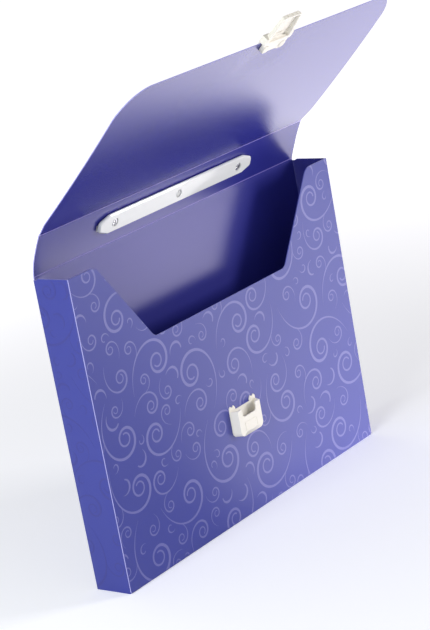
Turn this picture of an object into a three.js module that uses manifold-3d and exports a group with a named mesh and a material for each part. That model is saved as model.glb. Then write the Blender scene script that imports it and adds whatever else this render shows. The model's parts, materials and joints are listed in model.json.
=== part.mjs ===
// Plastic document case: a folded polypropylene box for A4 papers, with a hinged top strip,
// a long front flap, a push-in latch and a folding carry handle.
// Millimetres, +Z up. X runs left to right, the front panel faces -Y and the case stands on z = 0.
import * as THREE from 'three';
import { mergeVertices } from 'three/addons/utils/BufferGeometryUtils.js';
import Module from 'manifold-3d';

const wasm = await Module();
wasm.setup();

// Box
const width = 330;
const height = 248;
const depth = 35;
const sheet = 0.8;
const foldRadius = 1.2;
const creaseGap = 0.45;
const weldGap = 0.1;
const lidClearance = 0.4;
const tabWidth = 14;
const tabFillet = 2;
const reliefWidth = 5;
const reliefDepth = 1.2;

// Front cut-out
const cutTopHalf = 135;
const cutBottomHalf = 85;
const cutDepth = 71;
const cutTopFillet = 11;
const cutBottomFillet = 8;

// Lid: a top strip hinged to the back panel and a flap hinged to the strip
const stripLean = 24.83;
const stripNeck = 1.2;
const stripNeckLength = 12;
const flapLean = 48;
const flapLength = 151;
const flapFlare = 3.5;
const flareStart = 2;
const flareLength = 14;
const flareFillet = 10;
const flapCorner = 27;
const flapClearance = 0.4;

// Latch receiver on the front panel
const seatGap = 0.3;
const receiverFloor = 67.5;
const receiverTop = 89.5;
const receiverRise = 7.2;
const receiverHalf = 17;
const receiverFaceHalf = 14.6;
const receiverWall = 1.1;
const receiverFloorWall = 1.5;
const receiverPlate = 1;
const receiverCorner = 4.5;
const plateTop = 88.7;
const earTop = 93.7;
const earInner = 9.5;
const earFillet = 0.8;
const earPeakFillet = 0.6;
const earNotchFillet = 0.4;
const thumbCutHalf = 9;
const thumbCutBottom = 82.7;
const thumbCutFillet = 2.5;
const catchRibHeight = 1;
const catchRibRise = 0.9;
const catchRibLength = 1.2;
const catchRibInset = 0.6;
const faceFrameHalf = 7.9;
const faceFrameBottom = 70.3;
const faceFrameTop = 78;
const faceFrameLine = 0.8;
const faceFrameRise = 0.3;
const faceFrameFillet = 1;

// Pegs that hold the receiver to a plate inside the front panel
const pegRadius = 2;
const pegSpacing = 22;
const pegHeight = 78;
const pegHeadRadius = 3.2;
const pegHeadThickness = 0.8;
const pegClearance = 0.3;
const backingHalf = 19;
const backingMargin = 6;
const backingThickness = 1.8;
const backingCorner = 3;

// Latch clasp on the flap's free edge
const claspInner = 3.6;
const claspBaseHalf = 13.8;
const claspBaseReach = 7.6;
const claspRivetSpacing = 20.4;
const claspRivetInset = 5;
const rivetLobe = 3.9;
const lobeFillet = 1.6;
const lobeSlope = 1.2;
const shoulderHalf = 17.2;
const shoulderLength = 6.6;
const shoulderOuter = 2;
const shoulderTaper = 0.5;
const shoulderCorner = 1.5;
const plugReach = 26.5;
const plugRootRim = 15.2;
const plugTipRim = 11.3;
const plugRootFace = 12.9;
const plugTipFace = 10.4;
const plugRootOuter = 0.6;
const plugTipOuter = 0;
const plugTipInner = 3.2;
const plugSideWall = 1.5;
const plugTipWall = 1.4;
const plugFloorWall = 1.3;
const plugCorner = 1.6;
const cavityInset = 2.6;
const cavityCorner = 0.8;
const windowCorner = 0.6;
const gripGrooveCount = 3;
const gripGrooveDepth = 0.35;
const gripGrooveWidth = 1.4;
const gripGrooveHeight = 2.2;
const gripGrooveSpacing = 5.5;
const coverHalf = 14.5;
const coverThickness = 1.4;
const rivetShank = 1.4;
const rivetHead = 3.7;
const rivetHeadRise = 0.8;
const rivetFootRadius = 2.4;
const rivetFootThickness = 0.8;

// Spring button in the plug
const buttonSlot = 0.5;
const buttonThickness = 1.2;
const buttonSink = 0.15;
const buttonWingDrop = 1.6;
const buttonNeckHalf = 8.4;
const buttonArch = 1.5;
const buttonArchRadius = 8;
const buttonFillet = 0.5;
const buttonWebFillet = 0.3;
const buttonNeckFillet = 0.8;
const buttonLipRise = 0.3;
const buttonLipLength = 2;
const buttonLipTaper = 0.3;
const buttonLipOverlap = 1;
const buttonPadHalf = 6.5;
const buttonPadLength = 4.6;
const buttonPadRise = 0.8;
const buttonPadMargin = 0.4;
const buttonPadFillet = 1.6;

// Handle
const handleLength = 192;
const handleWidth = 15.8;
const handleRaise = 1.3;
const handleCorner = 3;
const handleTaper = 4;
const handleTaperLength = 11;
const innerPlateThickness = 2.2;
const plateBevel = 1;
const screwInset = 18;
const screwShank = 1.5;
const screwHead = 3.3;
const screwHeadHeight = 1.15;
const screwHeadCrown = 0.15;
const screwTipDepth = 2.4;
const screwHoleClearance = 0.3;
const counterboreDepth = 1.3;
const recessWidth = 0.8;
const recessDepth = 0.7;
const middlePeg = 2.6;
const middlePegSlot = 0.9;
const middlePegSink = 0.6;
const middleBoreDepth = 1.4;
const baseThickness = 3;
const endDomeHalf = 12;
const endDomeHeight = 6;
const endDomeMargin = 2.4;
const endDomeCorner = 5;
const pivotHeight = 7.2;
const bailInset = 38;
const bailReach = 30;
const bailArmWidth = 6;
const bailArmThickness = 6;
const bailBarThickness = 10;
const bailBarWidth = 11;
const bailCorner = 13;
const bailEndFillet = 2.5;
const bailBarFillet = 3.8;
const bailBlend = 3;
const bailSwell = 4;
const bailClearance = 0.5;
const pivotEarThickness = 4;
const pivotEarRadius = 4.6;
const pivotEarFillet = 4.4;
const pivotEarFoot = 1.5;
const trunnionRadius = 2;
const trunnionClearance = 0.3;
const trunnionLength = 3.6;

// Joins and cuts reach this far into or past what they join or cut
const joinDepth = 1;
const cutMargin = 1;
const facetSink = 0.1;

// Places that follow from the sizes above
const halfWidth = width / 2;
const halfDepth = depth / 2;
const wallTop = height - lidClearance - sheet / 2;
const hingeY = halfDepth - sheet / 2;
const stripLength = depth + flapClearance;
const frontInner = -halfDepth + sheet;
const tabFront = frontInner + weldGap;
const sideCentre = (halfDepth + tabFront) / 2;
const sideHalf = (halfDepth - tabFront) / 2;
const plateFront = -halfDepth - weldGap - receiverPlate;
const claspEdge = flapLength + seatGap;
const shoulderEnd = claspEdge + shoulderLength;
const plugEnd = flapLength + plugReach;
const claspBaseStart = flapLength - claspBaseReach;
const rivetV = flapLength - claspRivetInset;
const stripInner = -sheet / 2;
const handleMiddle = stripLength / 2 + handleRaise;
const plateOuterFace = stripInner - seatGap;
const baseInnerFace = sheet / 2 + seatGap;
const baseOuterFace = baseInnerFace + baseThickness;
const screwSpacing = handleLength - 2 * screwInset;
const bailHalf = handleLength / 2 - bailInset;
const arcSteps = 6;
const fineSteps = 12;
const roundSteps = 20;
const foldSteps = 4;

// Material colours
const violet = 0x5554a6;
const ivory = 0xf3f0ea;
const steel = 0xb9bcc2;

function material(color, roughness, metalness) {
  return new THREE.MeshStandardMaterial({ color, roughness, metalness });
}

// Closed geometry as a solid whose faces point outwards.
function solid(geometry) {
  const bare = geometry.index ? geometry.toNonIndexed() : geometry.clone();
  bare.deleteAttribute('normal');
  bare.deleteAttribute('uv');
  const merged = mergeVertices(bare, 1e-5);
  const vertProperties = new Float32Array(merged.attributes.position.array);
  const triVerts = new Uint32Array(merged.index.array);
  const body = new wasm.Manifold(new wasm.Mesh({ numProp: 3, vertProperties, triVerts }));
  if (body.volume() > 0) {
    return body;
  }
  triVerts.reverse();
  return new wasm.Manifold(new wasm.Mesh({ numProp: 3, vertProperties, triVerts }));
}

function meshFrom(name, body, finish) {
  const { vertProperties, triVerts } = body.getMesh();
  const geometry = new THREE.BufferGeometry();
  geometry.setAttribute('position', new THREE.BufferAttribute(new Float32Array(vertProperties), 3));
  geometry.setIndex(new THREE.BufferAttribute(new Uint32Array(triVerts), 1));
  geometry.computeVertexNormals();
  const mesh = new THREE.Mesh(geometry, finish);
  mesh.name = name;
  return mesh;
}

// Points of a closed outline whose [x, y, radius] corners are rounded by their own radius.
function roundedPoints(corners, steps = arcSteps) {
  const points = [];
  corners.forEach(([x, y, radius = 0], index) => {
    const corner = new THREE.Vector2(x, y);
    if (radius === 0) {
      points.push(corner);
      return;
    }
    const previous = corners.at(index - 1);
    const next = corners[(index + 1) % corners.length];
    const back = new THREE.Vector2(previous[0] - x, previous[1] - y).normalize();
    const ahead = new THREE.Vector2(next[0] - x, next[1] - y).normalize();
    const half = Math.acos(THREE.MathUtils.clamp(back.dot(ahead), -1, 1)) / 2;
    const start = corner.clone().addScaledVector(back, radius / Math.tan(half));
    const middle = back.clone().add(ahead).normalize();
    const centre = corner.clone().addScaledVector(middle, radius / Math.sin(half));
    const turn = (Math.PI - 2 * half) * Math.sign(back.cross(ahead)) * -1;
    for (let step = 0; step <= steps; step += 1) {
      points.push(start.clone().rotateAround(centre, (turn * step) / steps));
    }
  });
  return points;
}

function outline(corners, steps) {
  return new THREE.Shape(roundedPoints(corners, steps));
}

function rectangle(left, bottom, right, top, radius = 0) {
  return [[left, bottom, radius], [right, bottom, radius], [right, top, radius], [left, top, radius]];
}

function disc(x, y, radius, steps = roundSteps) {
  const points = [];
  for (let step = 0; step < steps; step += 1) {
    const angle = (2 * Math.PI * step) / steps;
    points.push(new THREE.Vector2(x + radius * Math.cos(angle), y + radius * Math.sin(angle)));
  }
  return new THREE.Shape(points);
}

// Outline in X and Z, thick along Y from its low face.
function upright(shape, low, thickness) {
  const geometry = new THREE.ExtrudeGeometry(shape, { depth: thickness, bevelEnabled: false });
  geometry.rotateX(Math.PI / 2);
  geometry.translate(0, low + thickness, 0);
  return solid(geometry);
}

// Outline in Y and Z, long along X.
function across(shape, left, length) {
  const geometry = new THREE.ExtrudeGeometry(shape, { depth: length, bevelEnabled: false });
  const turn = new THREE.Matrix4().makeBasis(
    new THREE.Vector3(0, 1, 0),
    new THREE.Vector3(0, 0, 1),
    new THREE.Vector3(1, 0, 0),
  );
  geometry.applyMatrix4(turn);
  geometry.translate(left, 0, 0);
  return solid(geometry);
}

// Outline in X and Y, tall along Z.
function standing(shape, bottom, tall) {
  const geometry = new THREE.ExtrudeGeometry(shape, { depth: tall, bevelEnabled: false });
  geometry.translate(0, 0, bottom);
  return solid(geometry);
}

function block(x, y, z, wide, deep, tall) {
  const geometry = new THREE.BoxGeometry(wide, deep, tall);
  geometry.translate(x, y, z);
  return solid(geometry);
}

// Round body about an axis along Y through (x, z), from [radius, y] points that start and end on the axis.
function turned(x, z, profile, steps = roundSteps) {
  const points = profile.map(([radius, y]) => new THREE.Vector2(radius, y));
  const geometry = new THREE.LatheGeometry(points, steps);
  geometry.translate(x, 0, z);
  return solid(geometry);
}

function bore(x, z, radius, low, high) {
  return upright(disc(x, z, radius), low, high - low);
}

// Body between two closed rings of as many points, each ring flat.
function loft(first, last) {
  const count = first.length;
  const positions = [...first, ...last].flatMap((point) => [point.x, point.y, point.z]);
  const flat = first.map((point) => new THREE.Vector2(point.x, point.z));
  const cap = THREE.ShapeUtils.triangulateShape(flat, []);
  const indices = [];
  cap.forEach(([a, b, c]) => {
    indices.push(a, b, c);
    indices.push(c + count, b + count, a + count);
  });
  for (let index = 0; index < count; index += 1) {
    const next = (index + 1) % count;
    indices.push(next, index, index + count);
    indices.push(next, index + count, next + count);
  }
  const geometry = new THREE.BufferGeometry();
  geometry.setAttribute('position', new THREE.Float32BufferAttribute(positions, 3));
  geometry.setIndex(indices);
  return solid(geometry);
}

// Ring of [x, z] corners, each point's y given by a function of its z.
function ringAt(corners, yOf, steps) {
  return roundedPoints(corners, steps).map((point) => new THREE.Vector3(point.x, yOf(point.y), point.y));
}

function flip(body) {
  return body.mirror([1, 0, 0]);
}

// U section of a folded sheet: a flat base with a quarter fold up at each end.
function foldedSection(half) {
  const inner = foldRadius - sheet;
  const shape = new THREE.Shape();
  shape.moveTo(-half, foldRadius);
  shape.absarc(-half + foldRadius, foldRadius, foldRadius, Math.PI, 1.5 * Math.PI, false);
  shape.absarc(half - foldRadius, foldRadius, foldRadius, 1.5 * Math.PI, 2 * Math.PI, false);
  shape.lineTo(half - sheet, foldRadius);
  shape.absarc(half - foldRadius, foldRadius, inner, 2 * Math.PI, 1.5 * Math.PI, true);
  shape.absarc(-half + foldRadius, foldRadius, inner, 1.5 * Math.PI, Math.PI, true);
  shape.closePath();
  return new THREE.Shape(shape.getPoints(foldSteps));
}

function backPanel() {
  const edge = halfWidth - foldRadius - weldGap;
  const bottom = foldRadius + weldGap;
  return upright(outline(rectangle(-edge, bottom, edge, height - creaseGap)), halfDepth - sheet, sheet);
}

function bottomPanel() {
  const half = halfWidth - sheet - weldGap;
  const notchX = halfWidth - foldRadius - weldGap;
  const notchY = -tabFront - foldRadius - weldGap;
  let body = across(foldedSection(halfDepth), -half, 2 * half);
  for (const side of [-1, 1]) {
    for (const end of [-1, 1]) {
      const x = side * (notchX + foldRadius);
      body = body.subtract(block(x, end * (notchY + depth / 2), foldRadius, 2 * foldRadius, depth, 4 * foldRadius));
    }
  }
  return body;
}

function frontPanel() {
  const cutFloor = height - cutDepth;
  const bottom = foldRadius + weldGap;
  const shape = outline([
    [-halfWidth, bottom],
    [halfWidth, bottom],
    [halfWidth, wallTop],
    [cutTopHalf, wallTop, cutTopFillet],
    [cutBottomHalf, cutFloor, cutBottomFillet],
    [-cutBottomHalf, cutFloor, cutBottomFillet],
    [-cutTopHalf, wallTop, cutTopFillet],
    [-halfWidth, wallTop],
  ]);
  let body = upright(shape, -halfDepth, sheet);
  for (const side of [-1, 1]) {
    const x = (side * pegSpacing) / 2;
    body = body.subtract(bore(x, pegHeight, pegRadius + pegClearance, -depth, 0));
  }
  return body;
}

function sidePanel() {
  const section = new THREE.ExtrudeGeometry(foldedSection(sideHalf), { depth: wallTop, bevelEnabled: false });
  section.rotateZ(-Math.PI / 2);
  section.translate(-halfWidth, sideCentre, 0);
  const relief = across(
    outline([
      [halfDepth - reliefWidth, wallTop + cutMargin],
      [halfDepth - reliefWidth, wallTop],
      [halfDepth - reliefWidth / 2, wallTop - reliefDepth],
      [halfDepth + cutMargin, wallTop - reliefDepth],
      [halfDepth + cutMargin, wallTop + cutMargin],
    ]),
    -halfWidth - cutMargin,
    foldRadius + 2 * cutMargin,
  );
  return solid(section).subtract(relief);
}

// Tab folded in from the side panel and welded behind the front panel, both ends cut on a slant.
function weldTab() {
  const outer = -halfWidth + foldRadius + weldGap;
  const inner = -halfWidth + tabWidth;
  const bottom = foldRadius + seatGap;
  const slant = tabWidth / 2;
  const shape = outline([
    [outer, bottom],
    [inner, bottom + slant, tabFillet],
    [inner, wallTop - slant, tabFillet],
    [outer, wallTop - weldGap],
  ]);
  return upright(shape, tabFront, sheet);
}

function receiver() {
  const back = -halfDepth - weldGap;
  const face = -halfDepth - receiverRise;
  const pocket = (half, floor, top, corner) => [
    [-half, top],
    [-half, floor, corner],
    [half, floor, corner],
    [half, top],
  ];
  const outside = loft(
    ringAt(pocket(receiverHalf, receiverFloor, receiverTop, receiverCorner), () => back),
    ringAt(pocket(receiverFaceHalf, receiverFloor, receiverTop, receiverCorner), () => face),
  );
  const innerFloor = receiverFloor + receiverFloorWall;
  const innerCorner = receiverCorner - receiverWall;
  const above = receiverTop + receiverWall;
  const innerHalf = receiverHalf - receiverWall;
  const innerFaceHalf = receiverFaceHalf - receiverWall;
  const cavity = loft(
    ringAt(pocket(innerHalf, innerFloor, above, innerCorner), () => plateFront),
    ringAt(pocket(innerFaceHalf, innerFloor, above, innerCorner), () => face + receiverWall),
  );
  const thumbCut = upright(
    outline([
      [-thumbCutHalf - thumbCutFillet, above],
      [-thumbCutHalf, receiverTop, thumbCutFillet],
      [-thumbCutHalf, thumbCutBottom, thumbCutFillet],
      [thumbCutHalf, thumbCutBottom, thumbCutFillet],
      [thumbCutHalf, receiverTop, thumbCutFillet],
      [thumbCutHalf + thumbCutFillet, above],
    ]),
    face - cutMargin,
    receiverWall + cutMargin + (plateFront - face) / 2,
  );
  let body = outside.subtract(cavity).subtract(thumbCut).add(receiverBackPlate(back)).add(faceFrame(face));
  for (const side of [-1, 1]) {
    const ribX = side * (thumbCutHalf + catchRibInset + catchRibLength / 2);
    const ribY = face + receiverWall + (catchRibRise - facetSink) / 2;
    const ribZ = receiverTop - catchRibHeight / 2;
    body = body.add(block(ribX, ribY, ribZ, catchRibLength, catchRibRise + facetSink, catchRibHeight));
    body = body.add(receiverPeg((side * pegSpacing) / 2, back));
  }
  return body;
}

// Back plate of the receiver, with an ear at each side that ends in two small peaks.
function receiverBackPlate(back) {
  const peak = (earTop - plateTop) / 3;
  const notch = (earInner + receiverHalf) / 2;
  const ear = [
    [receiverHalf, earTop - peak, earFillet],
    [receiverHalf - peak, earTop, earPeakFillet],
    [notch, earTop - peak, earNotchFillet],
    [earInner + peak, earTop, earPeakFillet],
    [earInner, earTop - 1.5 * peak, earFillet],
    [earInner, plateTop, earFillet],
  ];
  const mirrored = ear.map(([x, z, radius]) => [-x, z, radius]).reverse();
  const corners = [
    [-receiverHalf, receiverFloor, receiverCorner],
    [receiverHalf, receiverFloor, receiverCorner],
    ...ear,
    ...mirrored,
  ];
  return upright(outline(corners), back - receiverPlate, receiverPlate);
}

// Thin raised line round a plain field on the pocket's face.
function faceFrame(face) {
  const inset = faceFrameHalf - faceFrameLine;
  const outer = outline(rectangle(-faceFrameHalf, faceFrameBottom, faceFrameHalf, faceFrameTop, faceFrameFillet));
  const innerBottom = faceFrameBottom + faceFrameLine;
  const innerTop = faceFrameTop - faceFrameLine;
  outer.holes.push(outline(rectangle(-inset, innerBottom, inset, innerTop, faceFrameFillet / 2)));
  return upright(outer, face - faceFrameRise, faceFrameRise + receiverWall / 2);
}

function receiverPeg(x, back) {
  const headStart = tabFront + backingThickness + weldGap;
  return turned(x, pegHeight, [
    [0, back - receiverPlate / 2],
    [pegRadius, back - receiverPlate / 2],
    [pegRadius, headStart],
    [pegHeadRadius, headStart],
    [pegHeadRadius, headStart + pegHeadThickness / 2],
    [pegHeadRadius - pegHeadThickness / 2, headStart + pegHeadThickness],
    [0, headStart + pegHeadThickness],
  ]);
}

function backingPlate() {
  const bottom = receiverFloor - backingMargin / 2;
  const top = plateTop + backingMargin / 2;
  const shape = outline(rectangle(-backingHalf, bottom, backingHalf, top, backingCorner));
  let body = upright(shape, tabFront, backingThickness);
  for (const side of [-1, 1]) {
    const x = (side * pegSpacing) / 2;
    body = body.subtract(bore(x, pegHeight, pegRadius + pegClearance, -depth, 0));
  }
  return body;
}

// Strip frame: X along the crease, Y outwards from the sheet's middle, Z from crease to crease.
function topStrip() {
  const neck = halfWidth - stripNeck;
  const shape = outline([
    [-neck, creaseGap],
    [neck, creaseGap],
    [halfWidth, stripNeckLength, stripNeckLength],
    [halfWidth, stripLength - creaseGap],
    [-halfWidth, stripLength - creaseGap],
    [-halfWidth, stripNeckLength, stripNeckLength],
  ]);
  let body = upright(shape, -sheet / 2, sheet);
  for (const side of [-1, 1]) {
    const x = (side * screwSpacing) / 2;
    body = body.subtract(bore(x, handleMiddle, screwShank + screwHoleClearance, -sheet, sheet));
  }
  return body.subtract(bore(0, handleMiddle, middlePeg + screwHoleClearance, -sheet, sheet));
}

// Bar outline whose ends taper on a slant, drawn in by an inset all round.
function taperedBar(inset) {
  const slope = Math.hypot(handleTaper, handleTaperLength);
  const end = handleLength / 2 - inset;
  const shoulder = handleLength / 2 - handleTaperLength - (inset * (slope - handleTaperLength)) / handleTaper;
  const side = handleWidth / 2 - inset;
  const tip = handleWidth / 2 - handleTaper - (inset * (slope - handleTaper)) / handleTaperLength;
  const radius = handleCorner - inset;
  const quarter = [[end, -tip], [end, tip], [shoulder, side], [-shoulder, side]];
  const corners = [...quarter, ...quarter.map(([x, z]) => [-x, -z])];
  return corners.map(([x, z]) => [x, handleMiddle + z, radius]);
}

// Tapered bar with a bevelled rim on its far side.
function bevelledBar(near, far, bevel) {
  const bevelStart = far - Math.sign(far - near) * bevel;
  const ring = (inset, y) => ringAt(taperedBar(inset), () => y);
  const lower = loft(ring(0, near), ring(0, bevelStart));
  const upper = loft(ring(0, bevelStart), ring(bevel, far));
  return lower.add(upper);
}

function handleInnerPlate() {
  const far = plateOuterFace - innerPlateThickness;
  let body = bevelledBar(plateOuterFace, far, plateBevel);
  for (const side of [-1, 1]) {
    const x = (side * screwSpacing) / 2;
    const mouth = far - cutMargin;
    body = body.subtract(bore(x, handleMiddle, screwShank + screwHoleClearance, mouth, 0));
    body = body.subtract(bore(x, handleMiddle, screwHead + screwHoleClearance, mouth, far + counterboreDepth));
  }
  body = body.subtract(bore(0, handleMiddle, middlePeg + screwHoleClearance, far - cutMargin, 0));
  const recess = screwHead + screwHoleClearance;
  return body.subtract(bore(0, handleMiddle, recess, far - cutMargin, far + middleBoreDepth));
}

// Outer bar of the handle: domed ends over the screws and an ear beside each arm of the grip.
function handleBase() {
  let body = bevelledBar(baseInnerFace, baseOuterFace, plateBevel);
  const domeTop = baseInnerFace + endDomeHeight;
  for (const side of [-1, 1]) {
    const x = (side * screwSpacing) / 2;
    body = body.add(endDome(x, domeTop));
    body = body.add(pivotEar(side));
    const holeEnd = domeTop - plateBevel;
    body = body.subtract(bore(x, handleMiddle, screwShank + screwHoleClearance, 0, holeEnd));
    const earX = side * (bailHalf + bailArmThickness / 2 + bailClearance);
    const bearing = across(
      disc(baseInnerFace + pivotHeight, handleMiddle, trunnionRadius + trunnionClearance),
      earX - cutMargin - (side < 0 ? pivotEarThickness : 0),
      pivotEarThickness + 2 * cutMargin,
    );
    body = body.subtract(bearing);
  }
  return body.add(middlePegBody());
}

function endDome(x, top) {
  const half = handleWidth / 2 - endDomeMargin;
  const ring = (inset, y) => {
    const reach = endDomeHalf - inset;
    const low = handleMiddle - half + inset;
    const high = handleMiddle + half - inset;
    return ringAt(rectangle(x - reach, low, x + reach, high, endDomeCorner - inset), () => y);
  };
  const start = baseOuterFace - plateBevel;
  return loft(ring(0, start), ring(plateBevel, top));
}

function pivotEar(side) {
  const inner = side * (bailHalf + bailArmThickness / 2 + bailClearance);
  const axisW = baseInnerFace + pivotHeight;
  const foot = pivotEarRadius + pivotEarFoot;
  const top = axisW + pivotEarRadius;
  const shape = outline([
    [baseOuterFace - joinDepth, handleMiddle - foot],
    [top, handleMiddle - pivotEarRadius, pivotEarFillet],
    [top, handleMiddle + pivotEarRadius, pivotEarFillet],
    [baseOuterFace - joinDepth, handleMiddle + foot],
  ]);
  return across(shape, side < 0 ? inner - pivotEarThickness : inner, pivotEarThickness);
}

// Locating peg of the base, seen as a slotted stud in the middle recess of the inner plate.
function middlePegBody() {
  const end = plateOuterFace - innerPlateThickness + middlePegSink;
  const peg = bore(0, handleMiddle, middlePeg, end, baseInnerFace + baseThickness / 2);
  const slot = block(0, end, handleMiddle, middlePegSlot, 2 * recessDepth, 3 * middlePeg);
  return peg.subtract(slot);
}

function handleScrew(side) {
  const x = (side * screwSpacing) / 2;
  const seat = plateOuterFace - innerPlateThickness + counterboreDepth - weldGap;
  const head = seat - screwHeadHeight;
  const tip = baseInnerFace + endDomeHeight - screwTipDepth;
  let body = turned(x, handleMiddle, [
    [0, head],
    [screwHead * 0.75, head + screwHeadCrown],
    [screwHead, head + screwHeadHeight / 2],
    [screwHead, seat],
    [screwShank, seat],
    [screwShank, tip - screwShank],
    [0, tip],
  ]);
  for (const [wide, tall] of [[recessWidth, screwHead], [screwHead, recessWidth]]) {
    body = body.subtract(block(x, head, handleMiddle, wide, 2 * recessDepth, tall));
  }
  return body;
}

// Grip frame: the pivot axis is X, Z runs along the arms and Y outwards when the grip is folded flat.
function handleGrip() {
  const armLow = -bailArmWidth / 2;
  const barHigh = bailReach + bailBarWidth / 2;
  const outer = bailHalf + bailArmThickness / 2;
  const inner = bailHalf - bailArmThickness / 2;
  const barLow = bailReach - bailBarWidth / 2;
  const shape = outline([
    [-outer, armLow, bailEndFillet],
    [-inner, armLow, bailEndFillet],
    [-inner, barLow, bailCorner - bailArmThickness],
    [inner, barLow, bailCorner - bailArmThickness],
    [inner, armLow, bailEndFillet],
    [outer, armLow, bailEndFillet],
    [outer, barHigh, bailCorner],
    [-outer, barHigh, bailCorner],
  ]);
  const thick = upright(shape, -bailBarThickness / 2, bailBarThickness);
  const side = gripSideView();
  let body = thick.intersect(across(side, -halfWidth, width));
  for (const end of [-1, 1]) {
    const start = end * (outer - joinDepth);
    const length = trunnionLength + bailClearance + joinDepth;
    body = body.add(across(disc(0, 0, trunnionRadius), end < 0 ? start - length : start, length));
  }
  return body;
}

// Side view of the grip: slim round eyes at the pivot swelling to the finger bar.
function gripSideView() {
  const arm = bailArmThickness / 2;
  const bar = bailBarThickness / 2;
  const eye = bailArmWidth / 2;
  const start = bailReach - bailBarWidth / 2;
  const end = bailReach + bailBarWidth / 2;
  return outline([
    [-arm, -eye, bailEndFillet],
    [arm, -eye, bailEndFillet],
    [arm, start - bailSwell, bailBlend],
    [bar, start + joinDepth, bailBlend],
    [bar, end, bailBarFillet],
    [-bar, end, bailBarFillet],
    [-bar, start + joinDepth, bailBlend],
    [-arm, start - bailSwell, bailBlend],
  ]);
}

// Flap frame: X along the crease, Y outwards from the sheet's middle, Z from the crease to the free edge.
function flapPanel() {
  const flared = halfWidth + flapFlare;
  const shape = outline([
    [-halfWidth, creaseGap],
    [halfWidth, creaseGap],
    [halfWidth, flareStart],
    [flared, flareLength, flareFillet],
    [flared, flapLength, flapCorner],
    [-flared, flapLength, flapCorner],
    [-flared, flareLength, flareFillet],
    [-halfWidth, flareStart],
  ], fineSteps);
  let body = upright(shape, -sheet / 2, sheet);
  for (const side of [-1, 1]) {
    const x = (side * claspRivetSpacing) / 2;
    body = body.subtract(bore(x, rivetV, rivetShank + screwHoleClearance, -sheet, sheet));
  }
  return body;
}

// Rounded lobes round the two rivets, joined by a shallower middle.
function claspBaseOutline(half, end) {
  const lobeX = claspRivetSpacing / 2;
  const low = rivetV - rivetLobe;
  return [
    [half, low, rivetLobe - facetSink],
    [half, end],
    [-half, end],
    [-half, low, rivetLobe - facetSink],
    [-lobeX + rivetLobe, low, lobeFillet],
    [-lobeX + rivetLobe + lobeSlope, claspBaseStart, lobeFillet / 2],
    [lobeX - rivetLobe - lobeSlope, claspBaseStart, lobeFillet / 2],
    [lobeX - rivetLobe, low, lobeFillet],
  ];
}

const rimAt = (v) => {
  const share = (v - shoulderEnd) / (plugEnd - shoulderEnd);
  return -THREE.MathUtils.lerp(claspInner, plugTipInner, share);
};

const faceAt = (v) => {
  const share = (v - shoulderEnd) / (plugEnd - shoulderEnd);
  return THREE.MathUtils.lerp(plugRootOuter, plugTipOuter, share);
};

function plugCorners(rootHalf, tipHalf, root, tip, corner) {
  return [
    [-rootHalf, root],
    [rootHalf, root],
    [tipHalf, tip, corner],
    [-tipHalf, tip, corner],
  ];
}

function latchClasp() {
  const base = upright(
    outline(claspBaseOutline(claspBaseHalf, claspEdge + joinDepth)),
    -claspInner,
    claspInner + plateOuterFace,
  );
  const shoulder = upright(
    outline([
      [-shoulderHalf, claspEdge, shoulderCorner],
      [shoulderHalf, claspEdge, shoulderCorner],
      [shoulderHalf - shoulderTaper, shoulderEnd],
      [-shoulderHalf + shoulderTaper, shoulderEnd],
    ]),
    -claspInner,
    claspInner + shoulderOuter,
  );
  const root = shoulderEnd - joinDepth;
  const plug = loft(
    ringAt(plugCorners(plugRootFace, plugTipFace, root, plugEnd, plugCorner), faceAt),
    ringAt(plugCorners(plugRootRim, plugTipRim, root, plugEnd, plugCorner), rimAt),
  );
  let body = base.add(shoulder).add(plug).subtract(claspCavity()).subtract(buttonWindow());
  for (let index = 0; index < gripGrooveCount; index += 1) {
    const x = (index - (gripGrooveCount - 1) / 2) * gripGrooveSpacing;
    const y = faceAt(plugEnd) - plugTipInner / 2;
    body = body.subtract(block(x, y, plugEnd, gripGrooveWidth, gripGrooveHeight, 2 * gripGrooveDepth));
  }
  for (const side of [-1, 1]) {
    const x = (side * claspRivetSpacing) / 2;
    body = body.subtract(bore(x, rivetV, rivetShank + screwHoleClearance, -2 * claspInner, 0));
  }
  return body;
}

// Hollow of the plug, open on the side that faces the case.
function claspCavity() {
  const start = claspEdge + cavityInset;
  const end = plugEnd - plugTipWall;
  const ring = (rootHalf, tipHalf, yOf) => ringAt(
    plugCorners(rootHalf - plugSideWall, tipHalf - plugSideWall, start, end, cavityCorner),
    yOf,
  );
  return loft(
    ring(plugRootFace, plugTipFace, (v) => faceAt(v) - plugFloorWall),
    ring(plugRootRim, plugTipRim, (v) => rimAt(v) - cutMargin),
  );
}

const buttonEnd = () => plugEnd - plugTipWall - seatGap;
const buttonStart = () => shoulderEnd + buttonSlot;

// Half-width between the plug's side walls at a distance from the crease, on its outer floor.
function innerHalfAt(v) {
  const share = (v - shoulderEnd) / (plugEnd - shoulderEnd);
  return THREE.MathUtils.lerp(plugRootFace, plugTipFace, share) - plugSideWall;
}

function buttonWindow() {
  const start = shoulderEnd;
  const end = plugEnd - plugTipWall;
  return upright(
    outline(plugCorners(innerHalfAt(start), innerHalfAt(end), start, end, windowCorner)),
    -plugFloorWall - cutMargin,
    plugFloorWall + shoulderOuter + 2 * cutMargin,
  );
}

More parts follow.
